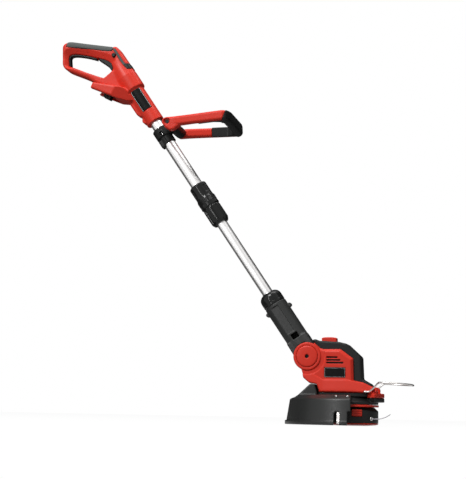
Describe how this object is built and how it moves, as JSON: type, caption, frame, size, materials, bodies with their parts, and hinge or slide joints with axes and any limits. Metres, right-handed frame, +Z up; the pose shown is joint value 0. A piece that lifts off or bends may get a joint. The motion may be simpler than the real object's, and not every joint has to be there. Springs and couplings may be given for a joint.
{
  "type": "cordless string trimmer",
  "caption": "Battery grass trimmer: rear grip with trigger, twist-lock telescopic pole, folding loop handle, tilting motor head, half-round shield, line spool and swing-out wire guard.",
  "frame": {"origin": "flat middle of the spool cap's underside, on the axis that the spool turns on", "axes": "+X the way the head faces, away from the pole; +Y the user's left; +Z up along the spool's axis"},
  "size_m": [0.7432, 0.2574, 0.7993],
  "materials": {
    "red_plastic": "moulded, fine grain, satin",
    "black_plastic": "moulded, fine grain, satin",
    "soft_grip": "soft overmould",
    "aluminium_tube": "drawn and anodised",
    "steel": "zinc plated",
    "nylon_line": "drawn monofilament"
  },
  "bodies": {
    "handle": {"handle_shell_left": "red_plastic", "handle_shell_right": "red_plastic", "top_grip": "soft_grip", "loop_liner": "black_plastic", "rear_plate": "black_plastic", "shoulder_inlay": "soft_grip", "trigger_switch": "black_plastic", "battery_terminals": "black_plastic", "handle_screw_1": "steel", "handle_screw_2": "steel", "handle_screw_3": "steel", "upper_tube": "aluminium_tube", "sleeve_body": "black_plastic", "collet": "black_plastic", "clamp_front": "black_plastic", "clamp_rear": "black_plastic"},
    "trigger": {"trigger": "black_plastic"},
    "lock_button": {"lock_button": "black_plastic"},
    "twist_nut": {"twist_nut": "black_plastic"},
    "loop_handle": {"loop_leg_left": "red_plastic", "loop_leg_right": "red_plastic", "loop_grip": "black_plastic", "loop_bolt": "steel"},
    "lower_pole": {"lower_tube": "aluminium_tube", "swivel_flange": "steel"},
    "release_collar": {"release_collar": "black_plastic"},
    "support": {"support_left": "black_plastic", "support_right": "black_plastic", "support_screw_1": "steel", "support_screw_2": "steel", "angle_plate": "black_plastic"},
    "head": {"motor_cowl": "black_plastic", "head_cover_left": "red_plastic", "head_cover_right": "red_plastic", "pivot_cap_left": "red_plastic", "pivot_cap_right": "red_plastic", "pivot_pin": "steel", "head_plate": "black_plastic", "head_base": "black_plastic", "motor": "steel", "spool_hood": "black_plastic", "nose_guard": "red_plastic", "shield": "black_plastic", "shield_screw_1": "steel", "shield_screw_2": "steel", "cutter_screw_1": "steel", "cutter_screw_2": "steel", "line_cutter": "steel"},
    "tilt_button": {"tilt_button": "red_plastic"},
    "guard_wire": {"guard_wire": "steel"},
    "spool": {"spool_housing": "black_plastic", "spool_ring": "red_plastic", "line_bobbin": "black_plastic", "wound_line": "nylon_line", "drive_shaft": "steel", "eyelet": "steel", "cutting_line": "nylon_line"},
    "spool_tab_right": {"spool_tab_right": "red_plastic"},
    "spool_tab_left": {"spool_tab_left": "red_plastic"},
    "spool_cap": {"spool_cap": "red_plastic"}
  },
  "joints": [
    {"name": "trigger_pull", "type": "hinge", "parent": "handle", "child": "trigger", "pos_m": [-0.52903, 0, 0.76527], "axis": [0, -1, 0], "range_deg": [0, 9], "stiffness_Nm_per_rad": 0.9, "springref_deg": -5.73},
    {"name": "lock_off_push", "type": "slide", "parent": "handle", "child": "lock_button", "axis": [0, 1, 0], "range_m": [0, 0.004], "stiffness_N_per_m": 1200, "springref_m": -0.001},
    {"name": "loop_fold", "type": "hinge", "parent": "handle", "child": "loop_handle", "pos_m": [-0.37255, 0, 0.60443], "axis": [0, -1, 0], "range_deg": [-45, 60]},
    {"name": "twist_lock", "type": "hinge", "parent": "handle", "child": "twist_nut", "pos_m": [-0.27807, 0, 0.41774], "axis": [-0.5625, 0, 0.8268], "range_deg": [0, 90]},
    {"name": "telescope", "type": "slide", "parent": "handle", "child": "lower_pole", "axis": [-0.5625, 0, 0.8268], "range_m": [-0.05, 0.16]},
    {"name": "collar_lift", "type": "slide", "parent": "lower_pole", "child": "release_collar", "axis": [-0.5625, 0, 0.8268], "range_m": [0, 0.006], "stiffness_N_per_m": 600, "springref_m": -0.003},
    {"name": "head_swivel", "type": "hinge", "parent": "lower_pole", "child": "support", "pos_m": [-0.084, 0, 0.1325], "axis": [-0.5625, 0, 0.8268], "range_deg": [0, 180]},
    {"name": "head_tilt", "type": "hinge", "parent": "support", "child": "head", "pos_m": [-0.084, 0, 0.1325], "axis": [0, 1, 0], "range_deg": [0, 50]},
    {"name": "tilt_release", "type": "slide", "parent": "head", "child": "tilt_button", "axis": [0, 0, -1], "range_m": [0, 0.004], "stiffness_N_per_m": 1200, "springref_m": -0.002},
    {"name": "wire_fold", "type": "hinge", "parent": "head", "child": "guard_wire", "pos_m": [0.029, 0, 0.0653], "axis": [0, -1, 0], "range_deg": [0, 75]},
    {"name": "spool_spin", "type": "hinge", "parent": "head", "child": "spool", "pos_m": [0, 0, 0], "axis": [0, 0, 1], "continuous": true},
    {"name": "right_key_press", "type": "slide", "parent": "spool", "child": "spool_tab_right", "axis": [-0.3173, 0.9483, 0], "range_m": [0, 0.003], "stiffness_N_per_m": 1500, "springref_m": -0.001},
    {"name": "left_key_press", "type": "slide", "parent": "spool", "child": "spool_tab_left", "axis": [0.3173, -0.9483, 0], "range_m": [0, 0.003], "stiffness_N_per_m": 1500, "springref_m": -0.001},
    {"name": "cap_pull", "type": "slide", "parent": "spool", "child": "spool_cap", "axis": [0, 0, -1], "range_m": [0, 0.03]}
  ]
}
